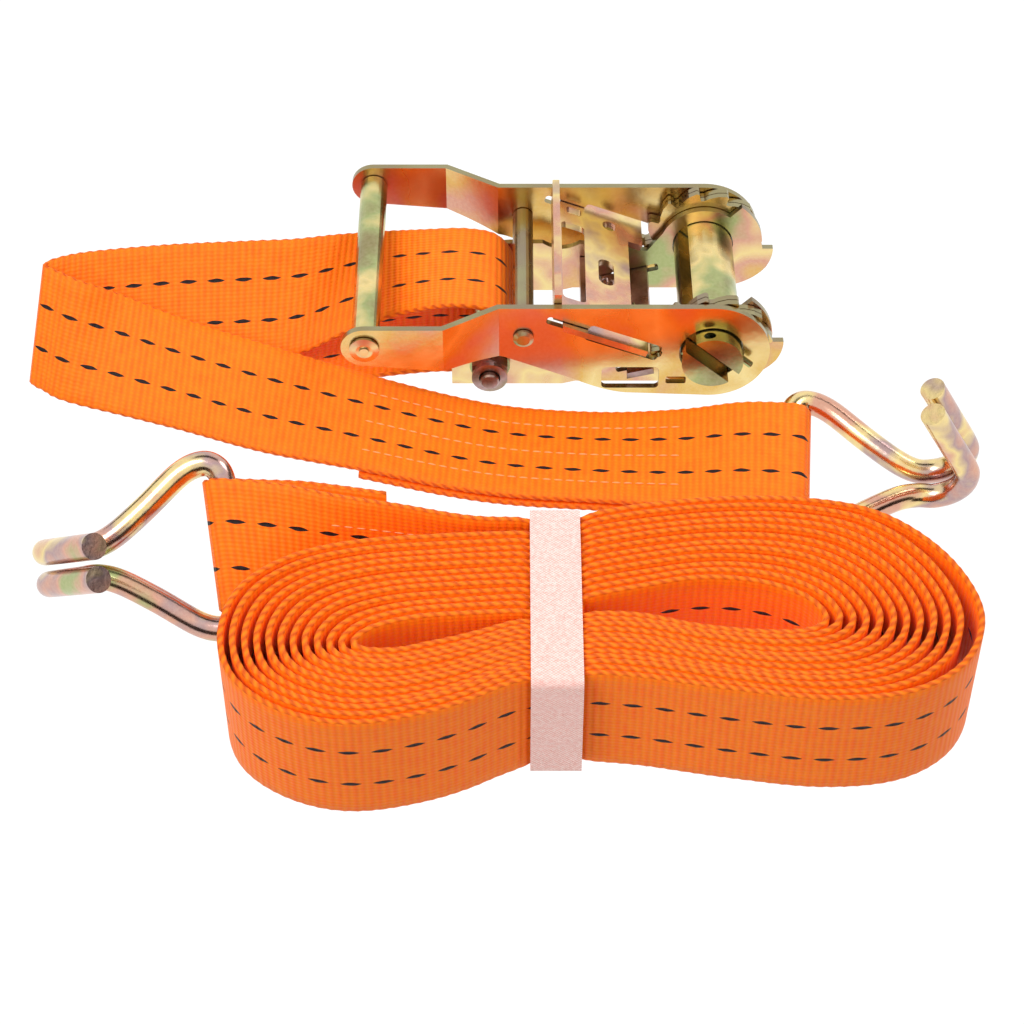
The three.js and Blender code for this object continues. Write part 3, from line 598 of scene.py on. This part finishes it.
LONG_TAIL = [
    ((-36.0, -36.4, 1.0), (-35.6, -29.0, 38.0)),
    ((-52.0, -38.4, 1.4), (-51.5, -24.4, 36.4)),
    ((-66.0, -42.2, 2.8), (-68.0, -17.6, 31.6)),
    *round_bar(HOOK_LONG, 90.0, 270.0, 5),
    ((-66.0, -48.4, 8.0), (-68.0, -24.6, 37.8)),
    ((-52.0, -43.2, 3.0), (-51.5, -29.6, 38.2)),
    ((-32.0, -40.0, 0.6), (-32.0, -33.6, 38.0)),
    ((-12.0, -40.0, 0.3), (-12.0, -38.4, 38.2)),
    ((3.0, -39.4, 0.3), (3.0, -39.1, 38.3)),
]
wound = LONG_TAIL + coil_stations()
long_strap, long_length = ribbon("long_strap_webbing", wound, LONG_STEP, banded=True)
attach(long_strap, "long_strap")
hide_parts("long_strap_coil", "long_strap_tail")

for row, share in enumerate((0.25, 0.75)):
    stitches(f"tail_stitches_{row}", LONG_TAIL[-4:-1], share, FACE, "long_strap")

# ---------------------------------------------------------------- elastic band


WALE_PITCH = 0.0011
COURSE_PITCH = 0.0009


def knit():
    """Knitted elastic: fine wales and courses over a mottled pink."""
    nodes = Nodes("pink_elastic")
    where = nodes.new("ShaderNodeTexCoord").outputs["Object"]
    split = nodes.new("ShaderNodeSeparateXYZ")
    nodes.link(where, split.inputs[0])
    wale = nodes.math("SINE", nodes.math("MULTIPLY", split.outputs[0], 2.0 * math.pi / WALE_PITCH))
    height_along = nodes.math("ADD", split.outputs[1], split.outputs[2])
    course = nodes.math("SINE", nodes.math("MULTIPLY", height_along, 2.0 * math.pi / COURSE_PITCH))
    stitch = nodes.math("MULTIPLY", wale, course)
    tone = nodes.math("ADD", nodes.math("MULTIPLY", stitch, 0.35), nodes.noise(900.0, 2.0, where))
    colour = nodes.ramp(tone, [(0.25, (0.86, 0.42, 0.36, 1.0)), (0.75, (0.96, 0.70, 0.64, 1.0))])
    nodes.link(colour, nodes.shader.inputs["Base Color"])
    nodes.shader.inputs["Roughness"].default_value = 0.8
    nodes.shader.inputs["Sheen Weight"].default_value = 0.3
    nodes.bump(tone, 0.4, 0.0004)
    return nodes.material


dress("tie_band", knit())

# ---------------------------------------------------------------- hooks

WIRE = 3.7
HALF_BAR = 23.8
BEND = 5.5
SHANK = 38.8
CURL = 11.8
TURN = 125.0
TIP = 29.0
SPACING = 9.0
WIRE_SIDES = 28
WIRE_STEPS = 8


def hook_half():
    """Half of the wire's middle line from the bar to the tip: x along the shank, y up the J, z the bar."""
    z = SPACING / 2.0
    points = [
        (0.0, 0.0, HALF_BAR * 0.5),
        (0.0, 0.0, HALF_BAR - BEND),
        (BEND * 0.29, 0.0, HALF_BAR - BEND * 0.29),
        (BEND, 0.0, HALF_BAR),
        (BEND * 2.2, 0.0, HALF_BAR - 2.2),
        (SHANK * 0.6, 0.0, HALF_BAR - 10.6),
        (SHANK * 0.84, 0.0, z + 2.4),
    ]
    for k in range(6):
        angle = math.radians(TURN * k / 5)
        points.append((SHANK + CURL * math.sin(angle), CURL * (1.0 - math.cos(angle)), z))
    end = math.radians(TURN)
    x, y, _ = points[-1]
    for share in (0.5, 1.0):
        points.append((x + TIP * share * math.cos(end), y + TIP * share * math.sin(end), z))
    return points


def wire_hook(name, hook, body, node):
    """A double hook: one round wire swept along both halves of its middle line."""
    e3 = Vector(hook["bar"]).normalized()
    e2 = Vector(hook["shank"]).cross(e3).normalized()
    e1 = e3.cross(e2).normalized()
    half = hook_half()
    line = [(x, y, -z) for x, y, z in reversed(half)] + [(0.0, 0.0, 0.0)] + half
    points = spline([Vector(p) for p in line], WIRE_STEPS)
    vertices = []
    turn = Vector((0.0, 1.0, 0.0))
    for i, p in enumerate(points):
        tangent = (points[min(i + 1, len(points) - 1)] - points[max(i - 1, 0)]).normalized()
        turn = (turn - tangent * turn.dot(tangent)).normalized()
        other = tangent.cross(turn)
        for k in range(WIRE_SIDES):
            angle = 2.0 * math.pi * k / WIRE_SIDES
            vertices.append(p + (turn * math.cos(angle) + other * math.sin(angle)) * WIRE)
    faces = []
    last = (len(points) - 1) * WIRE_SIDES
    for ring in range(0, last, WIRE_SIDES):
        for k in range(WIRE_SIDES):
            a = ring + k
            b = ring + (k + 1) % WIRE_SIDES
            faces.append((a, b, b + WIRE_SIDES, a + WIRE_SIDES))
    faces.append(tuple(reversed(range(WIRE_SIDES))))
    faces.append(tuple(range(last, last + WIRE_SIDES)))
    world = [place(*(Vector(hook["place"]) + e1 * v.x + e2 * v.y - e3 * v.z)) for v in vertices]
    mesh = bpy.data.meshes.new(name)
    mesh.from_pydata([tuple(v) for v in world], [], faces)
    mesh.shade_smooth()
    mesh.set_sharp_from_angle(angle=math.radians(40.0))
    mesh.materials.append(hook_wire)
    wire = bpy.data.objects.new(name, mesh)
    bpy.context.scene.collection.objects.link(wire)
    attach(wire, body)
    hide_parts(node)


wire_hook("fixed_hook_wire", HOOK_FIXED, "hook_fixed", "hook_fixed")
wire_hook("long_hook_wire", HOOK_LONG, "hook_long", "hook_long")

# ---------------------------------------------------------------- light

world = bpy.data.worlds.new("studio")
world.use_nodes = True
world.node_tree.nodes["Background"].inputs[0].default_value = (1.0, 1.0, 1.0, 1.0)
world.node_tree.nodes["Background"].inputs[1].default_value = 1.08
bpy.context.scene.world = world
bpy.context.scene.view_settings.view_transform = "Standard"


def softbox(name, where, target, width, power):
    """A soft square light, aimed at a place."""
    light = bpy.data.lights.new(name, "AREA")
    light.size = width
    light.energy = power
    lamp = bpy.data.objects.new(name, light)
    lamp.location = where
    lamp.rotation_euler = (Vector(target) - Vector(where)).to_track_quat("-Z", "Y").to_euler()
    bpy.context.scene.collection.objects.link(lamp)


def card(name, corners, shade):
    """A dark card outside the main view, for the bright metal to reflect; other views can show it."""
    mesh = bpy.data.meshes.new(name)
    mesh.from_pydata(corners, [], [(0, 1, 2, 3)])
    nodes = Nodes(name)
    nodes.shader.inputs["Base Color"].default_value = shade
    nodes.shader.inputs["Roughness"].default_value = 1.0
    nodes.shader.inputs["Specular IOR Level"].default_value = 0.0
    mesh.materials.append(nodes.material)
    panel = bpy.data.objects.new(name, mesh)
    bpy.context.scene.collection.objects.link(panel)


DARK = (0.02, 0.012, 0.008, 1.0)
card("card_front", [(-1.2, -1.1, -0.3), (1.2, -1.1, -0.3), (1.2, -1.1, 0.42), (-1.2, -1.1, 0.42)], DARK)
card("card_left", [(-0.9, -0.9, 0.0), (-0.9, 0.9, 0.0), (-0.9, 0.9, 0.35), (-0.9, -0.9, 0.35)], DARK)
card("card_right", [(0.9, -0.9, 0.1), (0.9, 0.9, 0.1), (0.9, 0.9, 0.6), (0.9, -0.9, 0.6)], DARK)
card("card_above", [(-0.5, 0.25, 1.1), (0.5, 0.25, 1.1), (0.5, 0.6, 0.9), (-0.5, 0.6, 0.9)], DARK)

softbox("key", (-0.5, -0.35, 0.9), (0.0, 0.0, 0.0), 0.5, 5.0)
softbox("fill", (0.7, 0.3, 0.7), (0.0, 0.0, 0.0), 0.4, 2.5)
